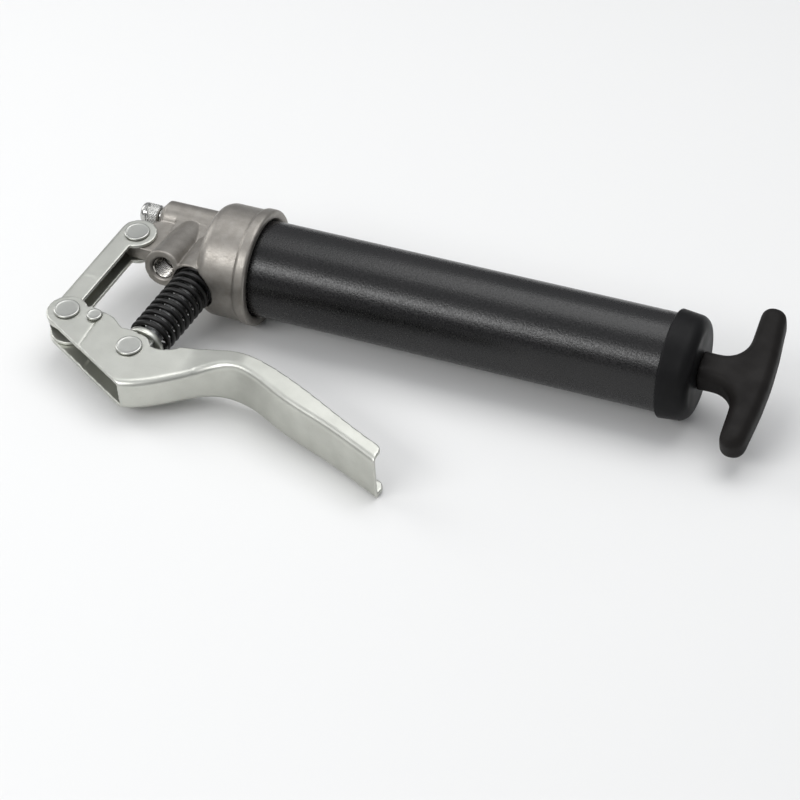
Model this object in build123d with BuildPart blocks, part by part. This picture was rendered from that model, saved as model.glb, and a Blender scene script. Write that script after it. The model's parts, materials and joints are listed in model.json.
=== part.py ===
"""Mini pistol-lever grease gun: every piece is modelled with the barrel along X, the
linkage in the XY plane (lever towards -Y) and the origin on the barrel axis at the rear
face of the head's rim. The finished pieces are then rolled about the barrel so that the
gun lies on its rim and lever tip, as it does on a bench, with its origin under its middle.
"""

from build123d import *
import os
from math import cos, hypot, radians, sin

# ---------------------------------------------------------------- driving dimensions (mm)
FIT = 0.05  # radial running clearance of pins and shafts
GAP = 0.3  # clearance between faces that pass each other

# barrel and its cap
BARREL_RADIUS = 19.0
BARREL_WALL = 1.0
BARREL_BORE = BARREL_RADIUS - BARREL_WALL
CAP_FRONT = 163.5
CAP_CREST_RADIUS = 20.9
CAP_REAR = 175.4
CAP_WALL = 4.0

# die-cast head
RIM_RADIUS = 23.2
RIM_WIDTH = 5.0
COLLAR_RADIUS = 22.3
COLLAR_FRONT = -22.0
SOCKET_FLOOR = -11.5
GASKET_THICKNESS = 1.5
TOP_BOSS_HEIGHT = 15.35  # axis of the top boss above the barrel axis
TOP_BOSS_RADIUS = 7.0
TOP_BOSS_FACE = -52.0
CHAMBER_RADIUS = 3.0
VALVE_SEAT = -24.0
BALL_RADIUS = 2.4
CHECK_SPRING_RADIUS = 2.3
RETAINER_REAR = -32.0
SPRING_BOSS_RADIUS = 10.3
OUTLET_BOSS_RADIUS = 7.6
OUTLET_MOUTH = (-36.3, -18.2, 5.0)
OUTLET_TILT = 14.0  # degrees, so that a pipe in the outlet passes the lever
OUTLET_TAP_RADIUS = 4.35
OUTLET_TAP_DEPTH = 11.0
LUG_HALF = 3.1
LUG_EYE = 6.3
LUG_CORNERS = [(-40.0, 14.0), (-49.0, 11.0), (-56.5, 4.0), (-55.0, -1.8), (-55.6, -8.1), (-40.0, -8.6)]
WEB_HALF = 5.2
WEB_CORNERS = [(-43.5, 14.0), (-42.5, -10.0), (-33.0, -15.5), (-19.0, -15.5), (-19.0, 17.0)]
PASSAGE_RADIUS = 1.6

# linkage pivots: A on the lug, B link to lever, C lever to piston
PIVOT_A = (-55.0, -1.8)
PIVOT_B = (-59.8, -53.0)
PIVOT_C = (-28.0, -64.0)
RIVET_SHANK = 2.5
RIVET_HEAD = 5.05
RIVET_HEAD_HEIGHT = 1.1
RIVET_BEVEL = 0.35

# link
LINK_SHEET = 1.5
LINK_HALF = 4.7
LINK_EAR = 7.8
LINK_BACK = 8.3  # back of the channel, outside the line of its pivots
LINK_FRONT = 1.1  # open edge of the channel, inside that line
LINK_BEND = 2.2
LINK_WEB_START = 5.0  # the back stops short of the pivots

# lever
LEVER_SHEET = 1.8
EAR_HALF = 6.6
PIVOT_HALF = 7.0
GRIP_HALF = 10.5
LEVER_EAR = 8.0
LEVER_BEND = 2.6
LEVER_TIP = (82.6, -88.0)
LEVER_TIP_RADIUS = 3.5
WEB_LINE = [(-23.5, -83.2), (0.0, -70.0), (11.5, -63.9), (34.3, -71.5), (57.2, -80.7), (82.3, -92.0)]
CROWN_LINE = [(-9.9, -58.0), (3.0, -55.9), (19.2, -56.8), (34.7, -61.8), (57.7, -72.8), (80.8, -84.0)]
WAIST = [(-16.4, -61.2), (-20.6, -60.9)]  # dip between the grip and ear C
EAR_C_EDGE = [(-28.0, -56.0), (-35.4, -55.3)]
CHEEK_LINE = [(-41.0, -50.9), (-45.0, -49.8), (-52.0, -47.6), PIVOT_B, (-64.3, -59.6)]
HOLLOW_END = [(100.0, -80.0), (100.0, -20.0), (-90.0, -20.0), (-90.0, -60.0), (-50.0, -110.0)]
WIDTH_PLAN = [
    (-72.0, EAR_HALF),
    (-46.6, EAR_HALF),
    (-46.0, PIVOT_HALF),
    (0.0, PIVOT_HALF),
    (14.0, GRIP_HALF),
    (90.0, GRIP_HALF),
]
CROSS_PIN = (-48.1, -52.8)
CROSS_PIN_RADIUS = 2.0
CROSS_PIN_HEAD = 3.0

# piston and return spring, measured along the piston axis from pivot C
PISTON_AXIS = (0.112, 0.994)
PISTON_RADIUS = 4.0
PISTON_TOP = 56.3
EYE_RADIUS = 5.2
EYE_HALF = 4.2
EYE_SLACK = 0.5  # the eye is a loose hole, because the lever swings and the piston does not
SEAT_HEIGHT = 9.9
SEAT_RADIUS = 7.7
SEAT_THICKNESS = 1.2
BOSS_MOUTH = 45.6
BOSS_DEPTH = 5.0
BOSS_COUNTERBORE = 9.15
SPRING_RADIUS = 8.6
SPRING_SLEEVE = 0.75  # wall of the sleeve that stands for the coil, with the coil's own metal
SEAL_LENGTH = 3.0
SEAL_RADIUS = 5.8
SEAL_WASHER = 0.8
BORE_END = 71.0

# follower, its rod and the T-handle
ROD_RADIUS = 3.0
ROD_REAR = 196.0
SPIGOT_RADIUS = 2.4
CUP_REAR = 2.0
CUP_LENGTH = 8.0
DISC_THICKNESS = 1.5
DISC_RADIUS = 12.0
NUT_THICKNESS = 2.6
NUT_RADIUS = 4.6
FOLLOWER_SPRING_RADIUS = 15.0
FOLLOWER_SLEEVE = 0.4
HANDLE_TURN = 14.2  # degrees that the T-bar stands round from the linkage plane
HANDLE_HALF = 6.3
HANDLE_CREST = 202.3
HANDLE_SPAN = 30.9
STEM_HALF = 6.2
BAR_FRONT = 190.6
CREST_ARC = 20.0  # half length of the bowed back of the bar
CREST_BOW = 1.2
HANDLE_BEVEL = 2.5

# bleeder screw
BLEEDER_RADIUS = 4.25
BLEEDER_FRONT = -61.4
BLEEDER_REAR = -53.0

# ---------------------------------------------------------------- planes of the mechanism
BARREL = Plane(origin=(0, 0, 0), x_dir=(0, 1, 0), z_dir=(1, 0, 0))
TOP_BOSS = Plane(origin=(0, TOP_BOSS_HEIGHT, 0), x_dir=(0, 1, 0), z_dir=(1, 0, 0))
PISTON = Plane(origin=(*PIVOT_C, 0), x_dir=(0, 0, 1), z_dir=(*PISTON_AXIS, 0))
OUTLET = Plane(
    origin=OUTLET_MOUTH,
    x_dir=(1, 0, 0),
    z_dir=(0, cos(radians(OUTLET_TILT)), -sin(radians(OUTLET_TILT))),
)
LINK_LENGTH = hypot(PIVOT_A[0] - PIVOT_B[0], PIVOT_A[1] - PIVOT_B[1])
LINK = Plane(
    origin=(*PIVOT_B, 0),
    x_dir=(PIVOT_A[0] - PIVOT_B[0], PIVOT_A[1] - PIVOT_B[1], 0),
    z_dir=(0, 0, 1),
)
HANDLE = Plane(
    origin=(0, 0, 0),
    x_dir=(1, 0, 0),
    z_dir=(0, -sin(radians(HANDLE_TURN)), cos(radians(HANDLE_TURN))),
)
ON_FACE = (Align.CENTER, Align.CENTER, Align.MIN)


def at(plane, start):
    """The place on a plane's normal where a turned length begins."""
    return Locations(plane.offset(start))


# ---------------------------------------------------------------- head casting
boss_reach = (TOP_BOSS_HEIGHT - OUTLET_MOUTH[1]) / cos(radians(OUTLET_TILT))
with BuildPart() as head_casting:
    # collar: rim, groove line, body and rounded shoulder, with a web behind the bosses
    with BuildSketch(Plane.XY):
        with BuildLine():
            FilletPolyline(
                (COLLAR_FRONT, 0),
                (COLLAR_FRONT, COLLAR_RADIUS),
                (-RIM_WIDTH - 0.4, COLLAR_RADIUS),
                (-RIM_WIDTH, COLLAR_RADIUS - 0.4),
                (-RIM_WIDTH, RIM_RADIUS),
                (0, RIM_RADIUS),
                (0, 0),
                radius=[5.0, 0.1, 0.1, 1.1, 1.3],
            )
            Line((0, 0), (COLLAR_FRONT, 0))
        make_face()
    revolve(axis=Axis.X)
    # top boss, with its tapered end
    with at(TOP_BOSS, TOP_BOSS_FACE):
        Cone(4.4, TOP_BOSS_RADIUS, 2.4, align=ON_FACE)
    with at(TOP_BOSS, TOP_BOSS_FACE + 2.4):
        Cylinder(TOP_BOSS_RADIUS, 33.0, align=ON_FACE)
    # outlet boss and spring boss
    with at(OUTLET, 0):
        Cylinder(OUTLET_BOSS_RADIUS, boss_reach - 2.0, align=ON_FACE)
    with at(PISTON, BOSS_MOUTH):
        Cylinder(SPRING_BOSS_RADIUS, 20.0, align=ON_FACE)
    # webs that tie the bosses to the collar
    with BuildSketch(Plane.XY):
        with BuildLine():
            Polyline(*WEB_CORNERS, close=True)
        make_face()
    extrude(amount=WEB_HALF, both=True)
    # pivot lug
    with BuildSketch(Plane.XY):
        with BuildLine():
            Polyline(*LUG_CORNERS, close=True)
        make_face()
        with Locations(PIVOT_A):
            Circle(LUG_EYE)
    extrude(amount=LUG_HALF, both=True)
    with Locations((*PIVOT_A, 0)):
        Cylinder(RIVET_SHANK + FIT, 4 * LUG_HALF, mode=Mode.SUBTRACT)
    # barrel socket with a lead-in, and the inlet drilling to the pump bore
    with at(BARREL, SOCKET_FLOOR):
        Cylinder(BARREL_RADIUS + FIT, 20.0, align=ON_FACE, mode=Mode.SUBTRACT)
    with at(BARREL, -1.2):
        Cone(BARREL_RADIUS + FIT, BARREL_RADIUS + 1.3, 1.25, align=ON_FACE, mode=Mode.SUBTRACT)
    with Locations(BARREL.offset(COLLAR_FRONT + 1.0) * Location((-5.0, 0, 0))):
        Cylinder(PASSAGE_RADIUS, 12.0, align=ON_FACE, mode=Mode.SUBTRACT)
    # spring counterbore, seal recess, pump bore and the rising passage
    with at(PISTON, BOSS_MOUTH - 6.0):
        Cylinder(BOSS_COUNTERBORE, BOSS_DEPTH + 6.0, align=ON_FACE, mode=Mode.SUBTRACT)
    with at(PISTON, BOSS_MOUTH + BOSS_DEPTH):
        Cylinder(SEAL_RADIUS, SEAL_LENGTH, align=ON_FACE, mode=Mode.SUBTRACT)
        Cylinder(PISTON_RADIUS + FIT, BORE_END - BOSS_MOUTH - BOSS_DEPTH, align=ON_FACE, mode=Mode.SUBTRACT)
    with at(PISTON, BORE_END - 1.0):
        Cylinder(PASSAGE_RADIUS, 9.8, align=ON_FACE, mode=Mode.SUBTRACT)
    # valve chamber along the top boss
    with at(TOP_BOSS, TOP_BOSS_FACE - 1.0):
        Cylinder(CHAMBER_RADIUS, VALVE_SEAT - TOP_BOSS_FACE + 1.0, align=ON_FACE, mode=Mode.SUBTRACT)
    with at(TOP_BOSS, VALVE_SEAT - 1.0):
        Cylinder(PASSAGE_RADIUS, 6.8, align=ON_FACE, mode=Mode.SUBTRACT)
    # tapped outlet with its lead-in, and the passage up to the chamber
    with at(OUTLET, -1.0):
        Cylinder(OUTLET_TAP_RADIUS, OUTLET_TAP_DEPTH + 1.0, align=ON_FACE, mode=Mode.SUBTRACT)
    with at(OUTLET, -0.01):
        Cone(OUTLET_TAP_RADIUS + 0.9, OUTLET_TAP_RADIUS, 0.9, align=ON_FACE, mode=Mode.SUBTRACT)
    with at(OUTLET, OUTLET_TAP_DEPTH - 1.0):
        Cylinder(PASSAGE_RADIUS, boss_reach - OUTLET_TAP_DEPTH - 0.5, align=ON_FACE, mode=Mode.SUBTRACT)

# ---------------------------------------------------------------- outlet check valve
ball_centre = VALVE_SEAT - (BALL_RADIUS**2 - PASSAGE_RADIUS**2) ** 0.5
ball_front = ball_centre - BALL_RADIUS
with BuildPart() as check_ball:
    with Locations((ball_centre, TOP_BOSS_HEIGHT, 0)):
        Sphere(BALL_RADIUS)

with BuildPart() as check_spring:
    with at(TOP_BOSS, RETAINER_REAR):
        Cylinder(CHECK_SPRING_RADIUS, ball_front - RETAINER_REAR, align=ON_FACE)
        Cylinder(CHECK_SPRING_RADIUS - 0.6, 20.0, mode=Mode.SUBTRACT)

with BuildPart() as check_retainer:
    with at(TOP_BOSS, RETAINER_REAR - 2.0):
        Cylinder(CHAMBER_RADIUS, 2.0, align=ON_FACE)
        Cylinder(1.3, 10.0, mode=Mode.SUBTRACT)

# ---------------------------------------------------------------- bleeder screw
with BuildPart() as bleeder_screw:
    with BuildSketch(Plane.XY):
        with BuildLine():
            FilletPolyline(
                (BLEEDER_FRONT, 0),
                (BLEEDER_FRONT, BLEEDER_RADIUS),
                (BLEEDER_REAR - 4.2, BLEEDER_RADIUS),
                (BLEEDER_REAR - 4.2, BLEEDER_RADIUS - 0.35),
                (BLEEDER_REAR - 3.8, BLEEDER_RADIUS - 0.35),
                (BLEEDER_REAR - 3.8, BLEEDER_RADIUS),
                (BLEEDER_REAR, BLEEDER_RADIUS),
                (BLEEDER_REAR, CHAMBER_RADIUS - FIT),
                (-42.0, CHAMBER_RADIUS - FIT),
                (-40.0, 0),
                radius=[1.5, 0.1, 0.1, 0.1, 0.1, 0.7, 0.3, 0.2],
            )
            Line((-40.0, 0), (BLEEDER_FRONT, 0))
        make_face()
    revolve(axis=Axis.X)
bleeder_screw.part = bleeder_screw.part.moved(Location((0, TOP_BOSS_HEIGHT, 0)))

# ---------------------------------------------------------------- rivets and cross pin
def rivet(pivot, shank, outer_half, head, proud):
    """A headed pin through the linkage plane, with both heads bevelled."""
    with BuildPart() as pin:
        with Locations((*pivot, 0)):
            Cylinder(shank, 2 * outer_half)
        with Locations((*pivot, outer_half), (*pivot, -outer_half - proud)):
            Cylinder(head, proud, align=ON_FACE)
        crests = pin.edges().filter_by(GeomType.CIRCLE).sort_by(Axis.Z)
        chamfer([crests[0], crests[-1]], RIVET_BEVEL)
    return pin


lug_rivet = rivet(PIVOT_A, RIVET_SHANK, LINK_HALF, RIVET_HEAD, RIVET_HEAD_HEIGHT)
link_rivet = rivet(PIVOT_B, RIVET_SHANK, EAR_HALF, RIVET_HEAD, RIVET_HEAD_HEIGHT)
piston_rivet = rivet(PIVOT_C, RIVET_SHANK, PIVOT_HALF, RIVET_HEAD, RIVET_HEAD_HEIGHT)
cross_pin = rivet(CROSS_PIN, CROSS_PIN_RADIUS, PIVOT_HALF, CROSS_PIN_HEAD, RIVET_HEAD_HEIGHT)

# ---------------------------------------------------------------- link
with BuildPart() as link_arm:
    with BuildSketch(LINK):
        with Locations((0, 0), (LINK_LENGTH, 0)):
            Circle(LINK_EAR)
        with Locations((LINK_LENGTH / 2, (LINK_EAR - LINK_FRONT) / 2)):
            Rectangle(LINK_LENGTH, LINK_EAR + LINK_FRONT)
        with Locations((LINK_LENGTH / 2, LINK_BACK / 2)):
            Rectangle(LINK_LENGTH - 2 * LINK_WEB_START, LINK_BACK)
    extrude(amount=LINK_HALF, both=True)
    long_edges = link_arm.edges().filter_by(
        lambda edge: edge.length > LINK_LENGTH - 12
        and abs(LINK.to_local_coords(edge.center()).Y - LINK_BACK) < 0.1
    )
    fillet(long_edges, LINK_BEND)
    # hollow of the channel
    with BuildSketch(LINK):
        with Locations((LINK_LENGTH / 2, -20.0 + LINK_BACK - LINK_SHEET)):
            Rectangle(LINK_LENGTH + 40.0, 40.0)
    extrude(amount=LINK_HALF - LINK_SHEET, both=True, mode=Mode.SUBTRACT)
    with Locations((*PIVOT_A, 0), (*PIVOT_B, 0)):
        Cylinder(RIVET_SHANK, 4 * LINK_HALF, mode=Mode.SUBTRACT)

# ---------------------------------------------------------------- lever
def lever_envelope(inset):
    """The lever's folded outside, or with an inset the hollow between its cheeks."""
    with BuildPart() as envelope:
        with BuildSketch(Plane.XY):
            with BuildLine():
                web = Spline([(x, y + inset) for x, y in WEB_LINE])
                if inset:
                    Polyline(web @ 1, *HOLLOW_END, web @ 0)
                else:
                    crown = Spline(CROWN_LINE)
                    Line(web @ 1, LEVER_TIP)
                    RadiusArc(LEVER_TIP, crown @ 1, -LEVER_TIP_RADIUS)
                    waist = ThreePointArc(crown @ 0, *WAIST)
                    ear_c = ThreePointArc(waist @ 1, *EAR_C_EDGE)
                    Polyline(ear_c @ 1, *CHEEK_LINE, web @ 0)
            make_face()
            if not inset:
                with Locations(PIVOT_B, PIVOT_C):
                    Circle(LEVER_EAR)
        extrude(amount=20.0, both=True)
        with BuildSketch(Plane.XZ):
            with BuildLine():
                upper = [(x, half - inset) for x, half in WIDTH_PLAN]
                lower = [(x, inset - half) for x, half in reversed(WIDTH_PLAN)]
                Polyline(*upper, *lower, close=True)
            make_face()
        extrude(amount=120.0, both=True, mode=Mode.INTERSECT)
        folds = envelope.edges().filter_by(
            lambda edge: edge.length > 2 * PIVOT_HALF + 1
            and abs(edge.center().Z) > LEVER_SHEET
            and web.distance_to(Vector((edge @ 0.5).X, (edge @ 0.5).Y, 0)) < 0.2
        )
        if not inset:
            fillet(folds, LEVER_BEND)
    return envelope


lever_outside = lever_envelope(0)
lever_hollow = lever_envelope(LEVER_SHEET)
with BuildPart() as lever_handle:
    add(lever_outside.part)
    add(lever_hollow.part, mode=Mode.SUBTRACT)
    with Locations((*PIVOT_B, 0), (*PIVOT_C, 0)):
        Cylinder(RIVET_SHANK, 4 * GRIP_HALF, mode=Mode.SUBTRACT)
    with Locations((*CROSS_PIN, 0)):
        Cylinder(CROSS_PIN_RADIUS, 4 * GRIP_HALF, mode=Mode.SUBTRACT)

# ---------------------------------------------------------------- piston and return spring
with BuildPart() as piston_rod:
    with Locations((*PIVOT_C, 0)):
        Cylinder(EYE_RADIUS, 2 * EYE_HALF)
    with BuildSketch(PISTON):
        Rectangle(2 * EYE_HALF, 2 * EYE_RADIUS)
    extrude(amount=SEAT_HEIGHT)
    with at(PISTON, SEAT_HEIGHT - 1.0):
        Cylinder(PISTON_RADIUS, PISTON_TOP - SEAT_HEIGHT + 1.0, align=ON_FACE)
    chamfer(piston_rod.edges().filter_by(GeomType.CIRCLE).sort_by(Axis.Y)[-1], 0.5)
    with Locations((*PIVOT_C, 0)):
        Cylinder(RIVET_SHANK + EYE_SLACK, 4 * EYE_HALF, mode=Mode.SUBTRACT)

with BuildPart() as spring_seat:
    with at(PISTON, SEAT_HEIGHT):
        Cylinder(SEAT_RADIUS, SEAT_THICKNESS, align=ON_FACE)
        Cylinder(5.2, SEAT_THICKNESS + 1.6, align=ON_FACE)
        Cylinder(PISTON_RADIUS, 20.0, mode=Mode.SUBTRACT)
    chamfer(spring_seat.edges().filter_by(GeomType.CIRCLE).sort_by(Axis.Y)[0], 0.2)

spring_bottom = SEAT_HEIGHT + SEAT_THICKNESS
spring_top = BOSS_MOUTH + BOSS_DEPTH - SEAL_WASHER
with BuildPart() as return_spring:
    with at(PISTON, spring_bottom):
        Cylinder(SPRING_RADIUS, spring_top - spring_bottom, align=ON_FACE)
        Cylinder(SPRING_RADIUS - SPRING_SLEEVE, 200.0, mode=Mode.SUBTRACT)

with BuildPart() as seal_washer:
    with at(PISTON, spring_top):
        Cylinder(BOSS_COUNTERBORE - 0.1, SEAL_WASHER, align=ON_FACE)
        Cylinder(PISTON_RADIUS + 2 * FIT, 10.0, mode=Mode.SUBTRACT)

with BuildPart() as piston_seal:
    with at(PISTON, BOSS_MOUTH + BOSS_DEPTH):
        Cylinder(SEAL_RADIUS, SEAL_LENGTH, align=ON_FACE)
        Cylinder(PISTON_RADIUS + FIT / 2, 10.0, mode=Mode.SUBTRACT)

# ---------------------------------------------------------------- barrel, gasket and end cap
BARREL_FRONT = SOCKET_FLOOR + GASKET_THICKNESS
BARREL_REAR = CAP_REAR - CAP_WALL - 1.5
with BuildPart() as barrel_gasket:
    with at(BARREL, SOCKET_FLOOR):
        Cylinder(BARREL_RADIUS - FIT, GASKET_THICKNESS, align=ON_FACE)
        Cylinder(BARREL_BORE - 1.5, 10.0, mode=Mode.SUBTRACT)

with BuildPart() as barrel_tube:
    with at(BARREL, BARREL_FRONT):
        Cylinder(BARREL_RADIUS, BARREL_REAR - BARREL_FRONT, align=ON_FACE)
        Cylinder(BARREL_BORE, 500.0, mode=Mode.SUBTRACT)

with BuildPart() as end_cap:
    with BuildSketch(Plane.XY):
        with BuildLine():
            FilletPolyline(
                (CAP_FRONT, BARREL_RADIUS),
                (CAP_FRONT, CAP_CREST_RADIUS),
                (CAP_REAR, CAP_CREST_RADIUS - 1.2),
                (CAP_REAR, 5.0),
                (CAP_REAR - CAP_WALL, 5.0),
                (CAP_REAR - CAP_WALL, BARREL_BORE - 1.0),
                (BARREL_REAR, BARREL_BORE - 1.0),
                (BARREL_REAR, BARREL_RADIUS),
                radius=[0.8, 4.6, 0.5, 0.2, 0.3, 0.2],
            )
            Line((BARREL_REAR, BARREL_RADIUS), (CAP_FRONT, BARREL_RADIUS))
        make_face()
    revolve(axis=Axis.X)

with BuildPart() as rod_bushing:
    with at(BARREL, CAP_REAR - CAP_WALL - 1.2):
        Cylinder(7.5, 1.2, align=ON_FACE)
        Cylinder(5.0, CAP_WALL + 1.2, align=ON_FACE)
        Cylinder(ROD_RADIUS + FIT, 30.0, mode=Mode.SUBTRACT)

# ---------------------------------------------------------------- follower and its spring
CUP_FRONT = CUP_REAR - CUP_LENGTH
with BuildPart() as follower_cup:
    with BuildSketch(Plane.XY):
        with BuildLine():
            Polyline(
                (CUP_FRONT, SPIGOT_RADIUS + FIT),
                (CUP_FRONT, 13.0),
                (CUP_FRONT - 1.2, BARREL_BORE - 1.2),
                (CUP_FRONT - 0.6, BARREL_BORE - GAP),
                (CUP_REAR + 2.6, BARREL_BORE - GAP),
                (CUP_REAR + 2.6, BARREL_BORE - 1.8),
                (CUP_REAR, 15.5),
                (CUP_REAR, SPIGOT_RADIUS + FIT),
                close=True,
            )
        make_face()
    revolve(axis=Axis.X)


def disc(start, hole):
    """A flat steel disc on the rod."""
    with BuildPart() as washer:
        with at(BARREL, start):
            Cylinder(DISC_RADIUS, DISC_THICKNESS, align=ON_FACE)
            Cylinder(hole, 10.0, mode=Mode.SUBTRACT)
    return washer


front_washer = disc(CUP_FRONT - DISC_THICKNESS, SPIGOT_RADIUS + FIT)
back_washer = disc(CUP_REAR, SPIGOT_RADIUS + FIT)
NUT_FRONT = CUP_FRONT - DISC_THICKNESS - 0.1 - NUT_THICKNESS
with BuildPart() as rod_nut:
    with BuildSketch(BARREL.offset(NUT_FRONT)):
        RegularPolygon(NUT_RADIUS, 6)
        Circle(SPIGOT_RADIUS, mode=Mode.SUBTRACT)
    extrude(amount=NUT_THICKNESS)

SPRING_FRONT = CUP_REAR + DISC_THICKNESS
with BuildPart() as follower_spring:
    with at(BARREL, SPRING_FRONT):
        Cylinder(FOLLOWER_SPRING_RADIUS, CAP_REAR - CAP_WALL - SPRING_FRONT, align=ON_FACE)
        Cylinder(FOLLOWER_SPRING_RADIUS - FOLLOWER_SLEEVE, 500.0, mode=Mode.SUBTRACT)

# ---------------------------------------------------------------- rod and T-handle
SHOULDER = SPRING_FRONT + 0.1
with BuildPart() as follower_rod:
    with at(BARREL, NUT_FRONT - 0.3):
        Cylinder(SPIGOT_RADIUS, SHOULDER - NUT_FRONT + 0.3, align=ON_FACE)
    with at(BARREL, SHOULDER):
        Cylinder(ROD_RADIUS, ROD_REAR - SHOULDER, align=ON_FACE)
    ends = follower_rod.edges().filter_by(GeomType.CIRCLE).sort_by(Axis.X)
    chamfer([ends[0], ends[-1]], 0.4)

STEM_START = CAP_REAR + GAP
with BuildPart() as t_handle:
    with BuildSketch(HANDLE):
        with BuildLine():
            Line((STEM_START, -STEM_HALF), (STEM_START, STEM_HALF))
            for side in (1, -1):
                FilletPolyline(
                    (STEM_START, side * STEM_HALF),
                    (BAR_FRONT, side * STEM_HALF),
                    (BAR_FRONT, side * HANDLE_SPAN),
                    (HANDLE_CREST - 2.2, side * HANDLE_SPAN),
                    (HANDLE_CREST - CREST_BOW, side * CREST_ARC),
                    radius=[9.0, 4.2, 4.6],
                )
            ThreePointArc(
                (HANDLE_CREST - CREST_BOW, CREST_ARC),
                (HANDLE_CREST, 0),
                (HANDLE_CREST - CREST_BOW, -CREST_ARC),
            )
        make_face()
    extrude(amount=HANDLE_HALF, both=True)
    rims = t_handle.edges().filter_by(
        lambda edge: abs(abs(HANDLE.to_local_coords(edge.center()).Z) - HANDLE_HALF) < 0.01
        and edge.center().X > STEM_START + 0.1
    )
    chamfer(rims, HANDLE_BEVEL)
    with at(BARREL, STEM_START):
        Cylinder(ROD_RADIUS, ROD_REAR - STEM_START, align=ON_FACE, mode=Mode.SUBTRACT)

# ---------------------------------------------------------------- lay the gun down and write it
PIECES = {
    "head_casting": head_casting,
    "check_ball": check_ball,
    "check_spring": check_spring,
    "check_retainer": check_retainer,
    "bleeder_screw": bleeder_screw,
    "lug_rivet": lug_rivet,
    "link_rivet": link_rivet,
    "piston_rivet": piston_rivet,
    "cross_pin": cross_pin,
    "link_arm": link_arm,
    "lever_handle": lever_handle,
    "piston_rod": piston_rod,
    "spring_seat": spring_seat,
    "return_spring": return_spring,
    "seal_washer": seal_washer,
    "piston_seal": piston_seal,
    "barrel_gasket": barrel_gasket,
    "barrel_tube": barrel_tube,
    "end_cap": end_cap,
    "rod_bushing": rod_bushing,
    "follower_cup": follower_cup,
    "front_washer": front_washer,
    "back_washer": back_washer,
    "rod_nut": rod_nut,
    "follower_spring": follower_spring,
    "follower_rod": follower_rod,
    "t_handle": t_handle,
}
LYING_ROLL = 7.95  # degrees about the barrel, from the linkage plane level to rim and lever tip down
rolled = [piece.part.moved(Location((0, 0, 0), (LYING_ROLL, 0, 0))) for piece in PIECES.values()]
box = Compound(rolled).bounding_box()
LYING = Location((-box.center().X, -box.center().Y, -box.min.Z), (LYING_ROLL, 0, 0))

if __name__ == "__main__":
    os.makedirs("parts", exist_ok=True)
    for label, piece in PIECES.items():
        piece.part = piece.part.moved(LYING)
        piece.part.label = label
        export_step(piece.part, f"parts/{label}.step")
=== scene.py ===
import json
from math import cos, floor, pi, radians, sin

import bmesh
import bpy
from mathutils import Matrix, Vector


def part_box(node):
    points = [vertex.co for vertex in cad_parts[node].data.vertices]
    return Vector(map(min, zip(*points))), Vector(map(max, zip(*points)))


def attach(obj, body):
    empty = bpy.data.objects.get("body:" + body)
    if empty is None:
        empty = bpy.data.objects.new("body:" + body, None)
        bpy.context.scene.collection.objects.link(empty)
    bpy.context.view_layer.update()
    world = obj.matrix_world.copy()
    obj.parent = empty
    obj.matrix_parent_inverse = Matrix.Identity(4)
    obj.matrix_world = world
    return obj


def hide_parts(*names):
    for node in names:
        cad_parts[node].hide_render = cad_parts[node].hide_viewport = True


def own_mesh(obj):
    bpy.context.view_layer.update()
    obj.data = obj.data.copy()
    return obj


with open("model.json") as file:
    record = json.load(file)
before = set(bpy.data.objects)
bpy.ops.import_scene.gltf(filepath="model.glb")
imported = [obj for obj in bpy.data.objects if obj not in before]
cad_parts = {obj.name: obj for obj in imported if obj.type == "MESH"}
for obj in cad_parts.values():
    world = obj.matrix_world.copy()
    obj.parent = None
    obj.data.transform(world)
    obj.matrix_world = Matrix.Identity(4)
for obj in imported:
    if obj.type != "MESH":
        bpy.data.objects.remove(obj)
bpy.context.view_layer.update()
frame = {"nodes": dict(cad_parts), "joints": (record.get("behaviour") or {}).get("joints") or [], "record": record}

nodes = frame["nodes"]
joints = {joint["name"]: joint for joint in frame["joints"]}

MM = 0.001

# ------------------------------------------------------------------ the gun's own axes
# Sizes below are in millimetres on the gun's own axes: X along the barrel from the rear face
# of the head's rim, Z square to the linkage, the lever towards -Y.
barrel_axis = Vector(joints["barrel_unscrew"]["pos_m"])
linkage_normal = Vector(joints["lever_squeeze"]["axis"]).normalized()
lengthwise = Vector((1, 0, 0))
across = linkage_normal.cross(lengthwise)
gun_turn = Matrix((lengthwise, across, linkage_normal)).transposed()


def gun(x, y, z):
    """A point on the gun's own axes, in millimetres, as a place in the frame."""
    return barrel_axis + gun_turn @ Vector((x, y, z)) * MM


PISTON_AXIS = Vector(joints["piston_stroke"]["axis"]).normalized()
TOP_BOSS_HEIGHT = 15.35
OUTLET_TILT = radians(14.0)
OUTLET_MOUTH = (-36.3, -18.2, 5.0)
PIVOT_A = (-55.0, -1.8, 0.0)
PIVOT_B = (-59.8, -53.0, 0.0)
PIVOT_C = (-28.0, -64.0, 0.0)
CROSS_PIN = (-48.1, -52.8, 0.0)
EAR_HALF = 6.6
PIVOT_HALF = 7.0
GRIP_HALF = 10.5
HANDLE_TURN = radians(14.2)


# ------------------------------------------------------------------ camera and lights
AZIMUTH = radians(21.55)
ELEVATION = radians(37.3)
ROLL = radians(0.4)
# the distance is in metres, and the lens in millimetres of focal length
DISTANCE = 0.9896
LENS = 114.2
# how far the middle of the view lies from the start of the barrel
VIEW_RIGHT, VIEW_DOWN = 51.67, 51.25

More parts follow.
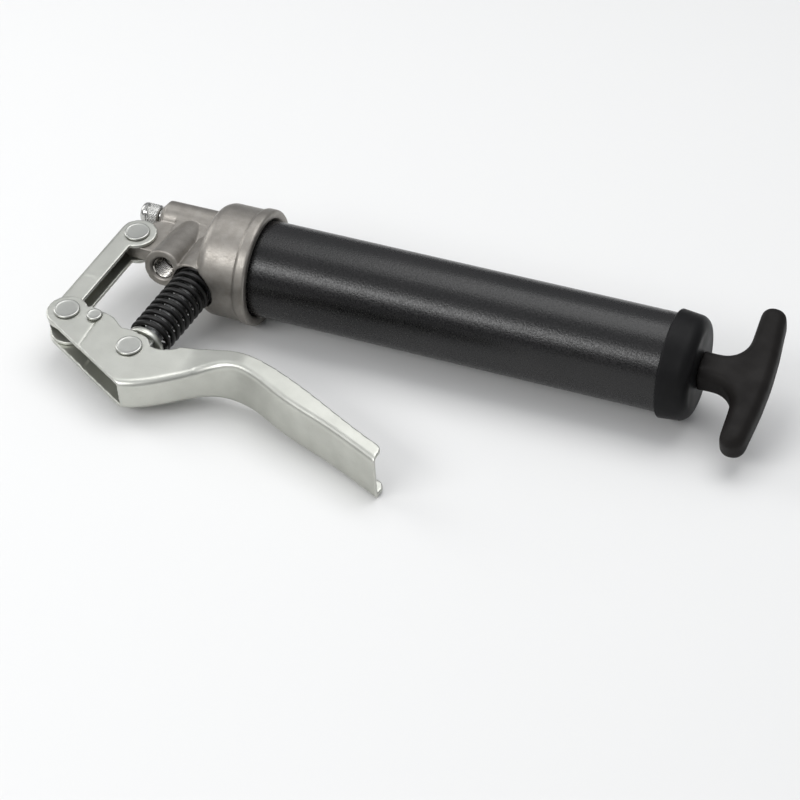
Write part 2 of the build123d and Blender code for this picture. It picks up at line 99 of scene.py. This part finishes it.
level_ahead = Vector((sin(AZIMUTH), -cos(AZIMUTH), 0))
towards_camera = level_ahead * cos(ELEVATION) + Vector((0, 0, 1)) * sin(ELEVATION)
level_right = Vector((cos(AZIMUTH), sin(AZIMUTH), 0))
camera_right = level_right * cos(ROLL) + towards_camera.cross(level_right) * sin(ROLL)
camera_up = towards_camera.cross(camera_right)
camera_data = bpy.data.cameras.new("camera")
camera_data.lens = LENS
camera = bpy.data.objects.new("camera", camera_data)
view_middle = barrel_axis + (camera_right * VIEW_RIGHT - camera_up * VIEW_DOWN) * MM
camera_turn = Matrix((camera_right, camera_up, towards_camera)).transposed().to_4x4()
camera.matrix_world = Matrix.Translation(view_middle + towards_camera * DISTANCE) @ camera_turn
bpy.context.scene.collection.objects.link(camera)
bpy.context.scene.camera = camera


def softbox(name, place, aim, width, height, power):
    """A rectangular studio lamp at place, turned to face aim, in metres and watts."""
    data = bpy.data.lights.new(name, "AREA")
    data.shape = "RECTANGLE"
    data.size = width
    data.size_y = height
    data.energy = power
    lamp = bpy.data.objects.new(name, data)
    lamp.location = place
    lamp.rotation_euler = (Vector(place) - Vector(aim)).to_track_quat("Z", "Y").to_euler()
    bpy.context.scene.collection.objects.link(lamp)


softbox("overhead_softbox", place=(0.05, 0.25, 0.95), aim=(0, 0, 0), width=0.9, height=0.7, power=4.4)
softbox("front_softbox", place=(-0.45, -0.95, 0.75), aim=(0, 0, 0.02), width=0.9, height=0.35, power=6.6)
softbox("left_softbox", place=(-0.9, 0.15, 0.45), aim=(0, 0, 0.02), width=0.5, height=0.6, power=2.4)

ROOM_HORIZON = (0.12, 0.12, 0.125, 1)
ROOM_OVERHEAD = (0.62, 0.63, 0.65, 1)
# the heights, as the sine of the elevation, where the room's shade starts and ends
SHADE_START, SHADE_END = 0.05, 0.75
world = bpy.data.worlds.new("studio")
world.use_nodes = True
bpy.context.scene.world = world
bpy.context.scene.view_settings.view_transform = "Standard"


# ------------------------------------------------------------------ material helpers
def colour(hex_value):
    """A linear colour from an sRGB hex value."""
    channels = [int(hex_value[i:i + 2], 16) / 255 for i in (0, 2, 4)]
    return [c / 12.92 if c <= 0.04045 else ((c + 0.055) / 1.055) ** 2.4 for c in channels] + [1]


def per(size_mm):
    """The texture scale that repeats about once in this many millimetres."""
    return 1 / (size_mm * MM)


def add(tree, kind, sockets, **settings):
    """One shader node: its settings, then a value or another node's output for each socket."""
    node = tree.nodes.new(kind)
    for name, value in settings.items():
        setattr(node, name, value)
    for socket, value in sockets.items():
        if isinstance(value, bpy.types.NodeSocket):
            tree.links.new(value, node.inputs[socket])
        else:
            node.inputs[socket].default_value = value
    return node


def new_finish(name):
    """An empty material, with its tree, its shader and the object's own coordinates."""
    material = bpy.data.materials.new(name)
    material.use_nodes = True
    tree = material.node_tree
    shader = tree.nodes["Principled BSDF"]
    place = add(tree, "ShaderNodeTexCoord", {}).outputs["Object"]
    return material, tree, shader, place


# most of a noise texture's values lie between these
NOISE = {"From Min": 0.35, "From Max": 0.65}
# the sockets of a Mix node that blends colours: its amount, its two colours and its result
AMOUNT, FIRST, SECOND, BLEND = 0, 6, 7, 2

# the room round the table: pale overhead, darker towards the horizon
room = world.node_tree
direction = add(room, "ShaderNodeTexCoord", {}).outputs["Generated"]
height = add(room, "ShaderNodeSeparateXYZ", {"Vector": direction}).outputs["Z"]
shade = add(room, "ShaderNodeMapRange", {"Value": height, "From Min": SHADE_START, "From Max": SHADE_END})
room_colour = add(
    room, "ShaderNodeMix", {AMOUNT: shade.outputs["Result"], FIRST: ROOM_HORIZON, SECOND: ROOM_OVERHEAD},
    data_type="RGBA",
)
room.links.new(room_colour.outputs[BLEND], room.nodes["Background"].inputs["Color"])


# ------------------------------------------------------------------ finishes
def die_cast_alloy():
    """Zinc-aluminium die casting, shot-tumbled: a warm grey satin skin, cloudy and finely pitted."""
    material, tree, shader, place = new_finish("die_cast_alloy")
    cloud = add(tree, "ShaderNodeTexNoise", {"Vector": place, "Scale": per(3.5), "Detail": 6.0})
    skin = add(tree, "ShaderNodeTexNoise", {"Vector": place, "Scale": per(0.5), "Detail": 3.0})
    cells = add(tree, "ShaderNodeTexVoronoi", {"Vector": place, "Scale": per(2.4)})

    # clouded between two greys, and darker in the pits with painted shade
    clouding = add(tree, "ShaderNodeMapRange", {"Value": cloud.outputs["Fac"], **NOISE})
    clouded = add(
        tree, "ShaderNodeMix",
        {AMOUNT: clouding.outputs["Result"], FIRST: colour("8E8A84"), SECOND: colour("9A9690")},
        data_type="RGBA",
    )
    pit_range = {"From Min": 0.03, "From Max": 0.10, "To Min": 0.5, "To Max": 0.0}
    pit = add(tree, "ShaderNodeMapRange", {"Value": cells.outputs["Distance"], **pit_range})
    tone = add(
        tree, "ShaderNodeMix",
        {AMOUNT: pit.outputs["Result"], FIRST: clouded.outputs[BLEND], SECOND: colour("77716A")},
        data_type="RGBA",
    )
    tree.links.new(tone.outputs[BLEND], shader.inputs["Base Color"])

    rough_range = {**NOISE, "To Min": 0.36, "To Max": 0.52}
    rough = add(tree, "ShaderNodeMapRange", {"Value": skin.outputs["Fac"], **rough_range})
    tree.links.new(rough.outputs["Result"], shader.inputs["Roughness"])
    shader.inputs["Metallic"].default_value = 0.85

    relief = add(
        tree, "ShaderNodeMath", {0: skin.outputs["Fac"], 1: pit.outputs["Result"]}, operation="SUBTRACT"
    )
    bump = add(
        tree, "ShaderNodeBump", {"Height": relief.outputs["Value"], "Distance": 0.05 * MM, "Strength": 0.45}
    )
    tree.links.new(bump.outputs["Normal"], shader.inputs["Normal"])
    return material


def plated_steel(name, light, dark, low_rough, high_rough, grain_mm):
    """Bright zinc plate on rolled steel: pale silver with a fine even grain, faint milky clouds
    and a few hair-thin handling scratches."""
    material, tree, shader, place = new_finish(name)
    grain = add(tree, "ShaderNodeTexNoise", {"Vector": place, "Scale": per(grain_mm), "Detail": 4.0})
    cloud = add(tree, "ShaderNodeTexNoise", {"Vector": place, "Scale": per(9.0), "Detail": 5.0})

    # scratches: a noise drawn out to twenty times its width, of which only the peaks are kept
    drawn_out = {"Rotation": (0.0, 0.4, 0.9), "Scale": (0.05, 1.0, 1.0)}
    way = add(tree, "ShaderNodeMapping", {"Vector": place, **drawn_out}).outputs["Vector"]
    scuff = add(tree, "ShaderNodeTexNoise", {"Vector": way, "Scale": per(0.7), "Detail": 0.0})
    scratch = add(
        tree, "ShaderNodeMapRange", {"Value": scuff.outputs["Fac"], "From Min": 0.74, "From Max": 0.78}
    ).outputs["Result"]

    clouding = add(tree, "ShaderNodeMapRange", {"Value": cloud.outputs["Fac"], **NOISE})
    tone = add(
        tree, "ShaderNodeMix",
        {AMOUNT: clouding.outputs["Result"], FIRST: colour(dark), SECOND: colour(light)},
        data_type="RGBA",
    )
    tree.links.new(tone.outputs[BLEND], shader.inputs["Base Color"])

    rough_range = {**NOISE, "To Min": low_rough, "To Max": high_rough}
    even = add(tree, "ShaderNodeMapRange", {"Value": grain.outputs["Fac"], **rough_range}).outputs["Result"]
    rough = add(tree, "ShaderNodeMath", {0: scratch, 1: 0.12, 2: even}, operation="MULTIPLY_ADD")
    tree.links.new(rough.outputs["Value"], shader.inputs["Roughness"])
    shader.inputs["Metallic"].default_value = 1.0

    relief = add(
        tree, "ShaderNodeMath", {0: scratch, 1: -0.6, 2: grain.outputs["Fac"]}, operation="MULTIPLY_ADD"
    )
    bump = add(
        tree, "ShaderNodeBump", {"Height": relief.outputs["Value"], "Distance": 0.004 * MM, "Strength": 0.5}
    )
    tree.links.new(bump.outputs["Normal"], shader.inputs["Normal"])
    return material


def powder_coat():
    """Fine-texture black powder coat on a steel tube: even pebbles about half a millimetre across,
    drawn a little coarse so that they sparkle along the lit side."""
    material, tree, shader, place = new_finish("black_powder_coat")
    pebble = add(tree, "ShaderNodeTexNoise", {"Vector": place, "Scale": per(0.7), "Detail": 2.0})
    drift = add(tree, "ShaderNodeTexNoise", {"Vector": place, "Scale": per(22.0), "Detail": 3.0})

    drifting = add(tree, "ShaderNodeMapRange", {"Value": drift.outputs["Fac"], **NOISE})
    tone = add(
        tree, "ShaderNodeMix",
        {AMOUNT: drifting.outputs["Result"], FIRST: colour("0C0C0D"), SECOND: colour("131213")},
        data_type="RGBA",
    )
    tree.links.new(tone.outputs[BLEND], shader.inputs["Base Color"])

    rough_range = {**NOISE, "To Min": 0.22, "To Max": 0.36}
    rough = add(tree, "ShaderNodeMapRange", {"Value": pebble.outputs["Fac"], **rough_range})
    tree.links.new(rough.outputs["Result"], shader.inputs["Roughness"])
    shader.inputs["Specular IOR Level"].default_value = 0.42

    bump = add(
        tree, "ShaderNodeBump", {"Height": pebble.outputs["Fac"], "Distance": 0.12 * MM, "Strength": 0.55}
    )
    tree.links.new(bump.outputs["Normal"], shader.inputs["Normal"])
    return material


def moulded_plastic(name, base, worn, roughness, grain_mm, depth_mm):
    """Black moulded plastic: a dull spark-eroded grain, a shade paler and smoother where hands
    rub it. The grain is drawn coarse enough to show."""
    material, tree, shader, place = new_finish(name)
    grain = add(tree, "ShaderNodeTexNoise", {"Vector": place, "Scale": per(grain_mm), "Detail": 3.0})
    rub = add(tree, "ShaderNodeTexNoise", {"Vector": place, "Scale": per(11.0), "Detail": 4.0})

    rubbing = add(tree, "ShaderNodeMapRange", {"Value": rub.outputs["Fac"], **NOISE})
    tone = add(
        tree, "ShaderNodeMix",
        {AMOUNT: rubbing.outputs["Result"], FIRST: colour(base), SECOND: colour(worn)},
        data_type="RGBA",
    )
    tree.links.new(tone.outputs[BLEND], shader.inputs["Base Color"])

    rough_range = {**NOISE, "To Min": roughness, "To Max": roughness - 0.1}
    rough = add(tree, "ShaderNodeMapRange", {"Value": rub.outputs["Fac"], **rough_range})
    tree.links.new(rough.outputs["Result"], shader.inputs["Roughness"])
    shader.inputs["Specular IOR Level"].default_value = 0.14

    bump = add(
        tree, "ShaderNodeBump", {"Height": grain.outputs["Fac"], "Distance": depth_mm * MM, "Strength": 0.5}
    )
    tree.links.new(bump.outputs["Normal"], shader.inputs["Normal"])
    return material


def blackened_wire():
    """Oiled black-oxide spring wire: nearly black, with a dull shine and fine drawing marks."""
    material, tree, shader, place = new_finish("blackened_spring_wire")
    film = add(tree, "ShaderNodeTexNoise", {"Vector": place, "Scale": per(3.0), "Detail": 4.0})
    marks = add(tree, "ShaderNodeTexNoise", {"Vector": place, "Scale": per(0.35), "Detail": 2.0})

    filming = add(tree, "ShaderNodeMapRange", {"Value": film.outputs["Fac"], **NOISE})
    tone = add(
        tree, "ShaderNodeMix",
        {AMOUNT: filming.outputs["Result"], FIRST: colour("0B0B0B"), SECOND: colour("171615")},
        data_type="RGBA",
    )
    tree.links.new(tone.outputs[BLEND], shader.inputs["Base Color"])

    rough_range = {**NOISE, "To Min": 0.28, "To Max": 0.44}
    rough = add(tree, "ShaderNodeMapRange", {"Value": film.outputs["Fac"], **rough_range})
    tree.links.new(rough.outputs["Result"], shader.inputs["Roughness"])
    shader.inputs["Metallic"].default_value = 0.35

    bump = add(
        tree, "ShaderNodeBump", {"Height": marks.outputs["Fac"], "Distance": 0.03 * MM, "Strength": 0.4}
    )
    tree.links.new(bump.outputs["Normal"], shader.inputs["Normal"])
    return material


def nitrile_rubber():
    """Moulded nitrile rubber: flat black with a faint bloom."""
    material, tree, shader, place = new_finish("nitrile_rubber")
    bloom = add(tree, "ShaderNodeTexNoise", {"Vector": place, "Scale": per(5.0), "Detail": 4.0})

    blooming = add(tree, "ShaderNodeMapRange", {"Value": bloom.outputs["Fac"], **NOISE})
    tone = add(
        tree, "ShaderNodeMix",
        {AMOUNT: blooming.outputs["Result"], FIRST: colour("1B1B1B"), SECOND: colour("292827")},
        data_type="RGBA",
    )
    tree.links.new(tone.outputs[BLEND], shader.inputs["Base Color"])

    rough_range = {**NOISE, "To Min": 0.6, "To Max": 0.8}
    rough = add(tree, "ShaderNodeMapRange", {"Value": bloom.outputs["Fac"], **rough_range})
    tree.links.new(rough.outputs["Result"], shader.inputs["Roughness"])
    return material


def paper():
    """Matte white paper, which the gun lies on."""
    material = bpy.data.materials.new("white_paper")
    material.use_nodes = True
    shader = material.node_tree.nodes["Principled BSDF"]
    shader.inputs["Base Color"].default_value = colour("E6E6E5")
    shader.inputs["Roughness"].default_value = 0.8
    return material


ALLOY = die_cast_alloy()
# each steel's two tones, its least and most roughness, and the size of its grain; the thread's dark alloy is
# painted shade, and its pale cut alloy is partly painted highlight
ALLOY_SHADE = plated_steel("alloy_thread_painted_shade", "4A4743", "3A3734", 0.45, 0.6, 0.3)
CUT_AND_HIGHLIGHT = plated_steel("cut_alloy_and_painted_highlight", "D8D5CF", "C4C0BA", 0.20, 0.28, 0.3)
SHEET = plated_steel("zinc_plated_sheet", "C8C9C2", "BFC0B9", 0.34, 0.42, 0.5)
RIVET = plated_steel("zinc_plated_rivet", "C0C1BC", "B6B7B2", 0.30, 0.38, 0.5)
SCREW = plated_steel("zinc_plated_screw", "C4C4C1", "B2B2AF", 0.18, 0.30, 0.4)
TURNED = plated_steel("turned_steel", "C0C1C1", "B2B3B4", 0.26, 0.36, 0.4)
COAT = powder_coat()
# each plastic's own tone and its worn tone, its roughness, and the size and depth of its grain
CAP = moulded_plastic("semi_gloss_cap", "0C0C0D", "141415", 0.52, 1.3, 0.04)
HANDLE = moulded_plastic("matte_handle_plastic", "161413", "1E1C1B", 0.62, 0.45, 0.05)
WIRE = blackened_wire()
RUBBER = nitrile_rubber()

FINISH_OF = {
    "cast_alloy": ALLOY,
    "bright_steel": TURNED,
    "zinc_screw": SCREW,
    "zinc_steel": RIVET,
    "zinc_sheet": SHEET,
    "black_spring": WIRE,
    "rubber": RUBBER,
    "black_coat": COAT,
    "black_cap": CAP,
    "black_plastic": HANDLE,
}
slot_of = {part["node"]: part["material_slot"] for part in frame["record"]["subparts"]}


# ------------------------------------------------------------------ mesh helpers
WELD_GAP = 0.002
SMOOTHING = 0.5
SHARP_ANGLE = radians(50)
COIL_STEPS = 36
WIRE_SIDES = 12


def piece_from(mesh, name, body, slot, *stands_for, finish=None):
    """Puts a finished mesh in the scene, on its body and with its slot's finish or its own."""
    mesh.materials.clear()
    mesh.materials.append(finish or FINISH_OF[slot])
    piece = bpy.data.objects.new(name, mesh)
    bpy.context.scene.collection.objects.link(piece)
    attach(piece, body)
    if stands_for:
        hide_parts(*stands_for)
    return piece


def evaluated(mesh, build):
    """The mesh after the modifiers that build adds to a passing object."""
    passing = bpy.data.objects.new("passing", mesh)
    bpy.context.scene.collection.objects.link(passing)
    build(passing)
    bpy.context.view_layer.update()
    made = bpy.data.meshes.new_from_object(passing.evaluated_get(bpy.context.evaluated_depsgraph_get()))
    bpy.data.objects.remove(passing)
    return made


def welded(node):
    """A CAD node's mesh with its faces joined."""
    mesh = nodes[node].data.copy()
    shape = bmesh.new()
    shape.from_mesh(mesh)
    bmesh.ops.remove_doubles(shape, verts=shape.verts, dist=WELD_GAP * MM)
    shape.to_mesh(mesh)
    shape.free()
    return mesh


def run_together(node, name, body, grain, rounds, share, held=None, moved=None):
    """A cast, pressed or moulded piece: the CAD shape with its corners run together. Grain is
    the remeshing step in millimetres, rounds is how often it is smoothed, and share is how much
    of its fine mesh is kept. Points that held picks stay where they are, and moved gives a
    point's new place before the smoothing."""

    def remeshed(passing):
        remesh = passing.modifiers.new("remesh", "REMESH")
        remesh.mode = "VOXEL"
        remesh.voxel_size = grain * MM

    def smoothed(passing):
        free = passing.vertex_groups.new(name="free")
        loose = [v.index for v in passing.data.vertices if not (held and held(v.co))]
        free.add(loose, 1.0, "REPLACE")
        smooth = passing.modifiers.new("smooth", "SMOOTH")
        smooth.factor = SMOOTHING
        smooth.iterations = rounds
        smooth.vertex_group = "free"
        thin = passing.modifiers.new("thin", "DECIMATE")
        thin.ratio = share

    mesh = evaluated(welded(node), remeshed)
    if moved:
        for v in mesh.vertices:
            v.co = moved(v.co)
    mesh = evaluated(mesh, smoothed)
    mesh.shade_smooth()
    return piece_from(mesh, name, body, slot_of[node], node)


def skin(rows, hollow=False):
    """A mesh over rings of points, each joined to the next. Its ends are closed, or in a hollow
    sleeve its last ring is joined to its first."""
    shape = bmesh.new()
    rings = [[shape.verts.new(point) for point in row] for row in rows]
    followers = rings[1:] + rings[:1] if hollow else rings[1:]
    for near, far in zip(rings, followers):
        for i in range(len(near)):
            j = (i + 1) % len(near)
            shape.faces.new((near[i], near[j], far[j], far[i]))
    if not hollow:
        shape.faces.new(reversed(rings[0]))
        shape.faces.new(rings[-1])
    bmesh.ops.recalc_face_normals(shape, faces=shape.faces)
    mesh = bpy.data.meshes.new("skin")
    shape.to_mesh(mesh)
    shape.free()
    mesh.shade_smooth()
    mesh.set_sharp_from_angle(angle=SHARP_ANGLE)
    return mesh


def round_axes(axis):
    """Two directions square to an axis and to each other, the first one level where it can be."""
    side = axis.cross(Vector((0, 0, 1)))
    side = side.normalized() if side.length > 0.1 else Vector((0, 1, 0))
    return side, axis.cross(side)


def coil(foot, axis, length, radius, wire, turns):
    """A compression spring wound round axis from foot, all in millimetres, its end turns closed."""
    side, front = round_axes(axis)
    open_pitch = (length - 3 * wire) / (turns - 2)
    wire_angles = [2 * pi * k / WIRE_SIDES for k in range(WIRE_SIDES)]
    rows = []
    for step in range(int(turns * COIL_STEPS) + 1):
        turn = step / COIL_STEPS
        closed_low = min(turn, 1.0)
        closed_high = max(turn - (turns - 1.0), 0.0)
        closed = closed_low + closed_high
        rise = wire / 2 + wire * closed + open_pitch * (turn - closed)
        angle = 2 * pi * turn
        outward = side * cos(angle) + front * sin(angle)
        centre = foot + (axis * rise + outward * radius) * MM
        rows.append([centre + (outward * cos(a) + axis * sin(a)) * (wire / 2) * MM for a in wire_angles])
    return skin(rows)


def saw(value):
    """A wave of straight flanks between 0 and 1, once for each whole number."""
    fraction = value - floor(value)
    return 1 - abs(2 * fraction - 1)


def lathe(origin, axis, stations, steps, relief=None, hollow=False):
    """A turned piece: stations are (place along the axis, radius) in millimetres, and relief
    changes the radius with the place and the angle."""
    side, front = round_axes(axis)
    rows = []
    for along, radius in stations:
        ring = []
        for k in range(steps):
            angle = 2 * pi * k / steps
            r = radius + (relief(along, angle) if relief else 0)
            ring.append(origin + (axis * along + (side * cos(angle) + front * sin(angle)) * r) * MM)
        rows.append(ring)
    return skin(rows, hollow)


# ------------------------------------------------------------------ handle, head, lever and link
# the length of stem that stays square, and what is added along and across the handle's bar
STEM_ROOT = 1.5
FILL_LONG, FILL_THICK = 0.012, 0.03
stem_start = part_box("t_handle")[0].x
bar_way = gun_turn @ Vector((0, cos(HANDLE_TURN), sin(HANDLE_TURN)))
bar_face = lengthwise.cross(bar_way)


def stem_root(point):
    """The square end of the handle's stem, against the cap."""
    return point.x < stem_start + STEM_ROOT * MM


def filled_out(point):
    """The handle a little over size before its corners are run together, so that it ends up
    as long and as thick as it should be."""
    out = point - barrel_axis
    return point + bar_way * out.dot(bar_way) * FILL_LONG + bar_face * out.dot(bar_face) * FILL_THICK


# the CAD lever widens in a straight flare over CAD_FLARE; the pressed one starts a little ahead
# of it and is longer
CAD_FLARE = 14.0
FLARE_LEAD, FLARE_LENGTH = 5.0, 24.0
# the cheeks ahead of the set line, and this far behind it, keep their own width
FLARE_CLEAR = 2.0
SET_LINE, SET_LINE_WIDTH, SET_LINE_DEPTH = -46.3, 0.6, 0.35
# how far under a cheek's outer face the set line still moves it
CHEEK_SKIN = 0.5


def eased(value):
    """A smooth step between 0 and 1."""
    value = min(max(value, 0.0), 1.0)
    return value * value * (3 - 2 * value)


def pressed(point):
    """The press's work on the cheeks: an even flare into the grip, and the set line across each
    cheek where the ear steps in."""
    place = gun_turn.transposed() @ (point - barrel_axis) / MM
    if place.x > SET_LINE + FLARE_CLEAR:
        plain = PIVOT_HALF + (GRIP_HALF - PIVOT_HALF) * min(max(place.x / CAD_FLARE, 0.0), 1.0)
        flared = PIVOT_HALF + (GRIP_HALF - PIVOT_HALF) * eased((place.x + FLARE_LEAD) / FLARE_LENGTH)
        place.z *= flared / plain
    depth = SET_LINE_DEPTH * max(0.0, 1 - abs(place.x - SET_LINE) / SET_LINE_WIDTH)
    if abs(place.z) > EAR_HALF - CHEEK_SKIN and depth > 0:
        place.z -= depth if place.z > 0 else -depth
    return gun(*place)


run_together("head_casting", "cast_head", "head", grain=0.35, rounds=6, share=0.35)
run_together(
    "t_handle", "moulded_t_handle", "plunger", grain=0.45, rounds=60, share=0.4,
    held=stem_root, moved=filled_out,
)
run_together("lever_handle", "folded_lever", "lever", grain=0.35, rounds=4, share=0.4, moved=pressed)
run_together("link_arm", "pressed_link", "link", grain=0.3, rounds=4, share=0.4)

# ------------------------------------------------------------------ rivets and springs
# rivets: upset heads with a thin shadow line under the rim and a slight dish on top, each given
# by half the thickness that it holds and the radii of its shank and of its rim
RIVET_STEPS = 72
for node, name, body, pivot, half, shank, rim in (
    ("lug_rivet", "upset_lug_rivet", "link", PIVOT_A, 4.7, 2.5, 5.05),
    ("link_rivet", "upset_link_rivet", "lever", PIVOT_B, EAR_HALF, 2.5, 5.05),
    ("piston_rivet", "upset_piston_rivet", "lever", PIVOT_C, PIVOT_HALF, 2.5, 5.05),
    ("cross_pin", "upset_cross_pin", "lever", CROSS_PIN, PIVOT_HALF, 2.0, 3.0),
):
    rise = [
        (half + 0.02, shank), (half + 0.02, rim - 0.6), (half + 0.36, rim - 0.55), (half + 0.44, rim),
        (half + 0.7, rim), (half + 0.95, rim - 0.12), (half + 1.08, rim - 0.4), (half + 1.1, rim - 0.7),
        (half + 1.0, rim - 1.0), (half + 0.98, rim - 1.5), (half + 1.0, 0.05),
    ]
    fall = [(-along, radius) for along, radius in reversed(rise)]
    rivet = lathe(gun(*pivot), linkage_normal, fall + rise, RIVET_STEPS)
    piece_from(rivet, name, body, "zinc_steel", node)

# spring seat: a stamped ring with a short collar round the piston
SEAT_HEIGHT, SEAT_STEPS = 9.9, 96
ring = [
    (SEAT_HEIGHT + 2.8, 4.02), (SEAT_HEIGHT - 0.9, 4.02), (SEAT_HEIGHT - 1.0, 4.2), (SEAT_HEIGHT - 1.0, 5.9),
    (SEAT_HEIGHT - 0.7, 6.2), (SEAT_HEIGHT - 0.7, 6.4), (SEAT_HEIGHT - 1.2, 6.7), (SEAT_HEIGHT - 1.3, 7.2),
    (SEAT_HEIGHT - 1.0, 7.6), (SEAT_HEIGHT - 0.6, 7.7), (SEAT_HEIGHT + 0.9, 7.7), (SEAT_HEIGHT + 1.2, 7.4),
    (SEAT_HEIGHT + 1.2, 5.4), (SEAT_HEIGHT + 1.4, 5.2), (SEAT_HEIGHT + 2.6, 5.15), (SEAT_HEIGHT + 2.8, 5.0),
]
seat = lathe(gun(*PIVOT_C), PISTON_AXIS, ring, SEAT_STEPS, hollow=True)
# the seat takes the paler, rougher sheet finish in place of its slot's turned steel: partly its stamped zinc
# plate, partly painted light against the shade of the lever's cheeks
piece_from(seat, "stamped_spring_seat", "piston", "bright_steel", "spring_seat", finish=SHEET)

# return spring: between its seat on the piston and the floor of the head's spring boss
SPRING_FOOT, SPRING_LENGTH = 11.1, 38.7
SPRING_RADIUS, SPRING_WIRE, SPRING_TURNS = 7.5, 2.1, 11.5
foot = gun(*PIVOT_C) + PISTON_AXIS * SPRING_FOOT * MM
winding = coil(foot, PISTON_AXIS, SPRING_LENGTH, SPRING_RADIUS, SPRING_WIRE, SPRING_TURNS)
spring = piece_from(winding, "return_coil", "head", "black_spring", "return_spring")
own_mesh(spring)

# follower spring: between the follower and the end cap
FOLLOWER_RADIUS, FOLLOWER_WIRE, FOLLOWER_TURNS = 13.8, 2.2, 16.0
low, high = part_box("follower_spring")
follower_length = (high.x - low.x) / MM
follower_foot = Vector((low.x, barrel_axis.y, barrel_axis.z))
winding = coil(follower_foot, lengthwise, follower_length, FOLLOWER_RADIUS, FOLLOWER_WIRE, FOLLOWER_TURNS)
follower_coil = piece_from(winding, "follower_coil", "barrel", "black_spring", "follower_spring")
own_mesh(follower_coil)

# ------------------------------------------------------------------ bleeder screw and outlet
# bleeder screw: domed nose, a turned groove and a diamond-knurled band
KNURL_START, KNURL_END, KNURL_TEETH, KNURL_DEPTH = -57.6, -53.9, 26, 0.3
KNURL_STEP, SCREW_RADIUS, SCREW_STEPS = 0.1, 4.25, 208


def knurl(along, angle):
    """How far the knurl is cut in, in diamonds a millimetre long."""
    if not KNURL_START <= along <= KNURL_END:
        return 0.0
    tooth = KNURL_TEETH * angle / (2 * pi)
    return -KNURL_DEPTH * (1 - saw(tooth + along) * saw(tooth - along))


dome = [(-61.4, 0.4), (-61.38, 1.6), (-61.25, 2.6), (-60.95, 3.4), (-60.5, 3.9), (-59.9, 4.18)]
groove = [(-59.2, SCREW_RADIUS), (-58.5, SCREW_RADIUS), (-58.35, 3.85), (-58.05, 3.85), (-57.9, 4.2)]
band_steps = round((KNURL_END - KNURL_START) / KNURL_STEP)
band = [(-57.65, SCREW_RADIUS)]
band += [(KNURL_START + KNURL_STEP * i, SCREW_RADIUS) for i in range(band_steps + 1)]
stem = [(-53.8, 4.1), (-53.3, 3.7), (-53.0, 3.3), (-52.9, 2.95), (-42.0, 2.95), (-41.0, 2.2), (-40.0, 0.3)]
screw = lathe(gun(0, TOP_BOSS_HEIGHT, 0), lengthwise, dome + groove + band + stem, SCREW_STEPS, knurl)
piece_from(screw, "knurled_bleeder", "bleeder", "zinc_screw", "bleeder_screw")

# pipe thread in the outlet: a sleeve with a helical crest, 27 turns to the inch
THREAD_PITCH, THREAD_DEPTH, THREAD_STEP, THREAD_STEPS = 0.94, 0.6, 0.1, 96
THREAD_START, THREAD_END = 0.9, 9.5
SLEEVE_START, SLEEVE_BACK, SLEEVE_ROWS = 0.8, 9.75, 90
ROOT_RADIUS, SLEEVE_RADIUS = 4.45, 4.7
# beyond this radius a flank lies in the shade of its crest and takes the darker finish, painted shade; the crests
# within it take the pale cut finish, partly a painted highlight
SHADE_RADIUS = 4.18
outlet_axis = gun_turn @ Vector((0, cos(OUTLET_TILT), -sin(OUTLET_TILT)))


def thread(along, angle):
    """How far the thread stands in from its root."""
    if not THREAD_START < along < THREAD_END:
        return 0.0
    return -THREAD_DEPTH * saw(along / THREAD_PITCH + angle / (2 * pi))


bore_mouth = gun(*OUTLET_MOUTH)
inside = [(SLEEVE_START + THREAD_STEP * i, ROOT_RADIUS) for i in range(SLEEVE_ROWS)]
outside = [(SLEEVE_BACK, SLEEVE_RADIUS), (SLEEVE_START, SLEEVE_RADIUS)]
sleeve = lathe(bore_mouth, outlet_axis, inside + outside, THREAD_STEPS, thread, hollow=True)
# the thread's crests take the pale cut finish, cut metal lightened with a painted highlight, and its roots the
# dark finish, painted shade
threads = piece_from(sleeve, "outlet_thread", "head", "cast_alloy", finish=CUT_AND_HIGHLIGHT)
threads.data.materials.append(ALLOY_SHADE)
for face in threads.data.polygons:
    out = face.center - bore_mouth
    radius = (out - outlet_axis * out.dot(outlet_axis)).length / MM
    face.material_index = 1 if radius > SHADE_RADIUS else 0

# ------------------------------------------------------------------ CAD pieces
# each takes its finish; those that nothing above replaces are seen in their CAD shape
for node, shape in nodes.items():
    shape.data.materials.clear()
    shape.data.materials.append(FINISH_OF[slot_of[node]])

# ------------------------------------------------------------------ floor
FLOOR_REACH = 4.0
floor_corners = [(x * FLOOR_REACH, y * FLOOR_REACH, 0) for x, y in ((-1, -1), (1, -1), (1, 1), (-1, 1))]
floor_mesh = bpy.data.meshes.new("studio_floor")
floor_mesh.from_pydata(floor_corners, [], [(0, 1, 2, 3)])
floor_mesh.materials.append(paper())
studio_floor = bpy.data.objects.new("studio_floor", floor_mesh)
bpy.context.scene.collection.objects.link(studio_floor)
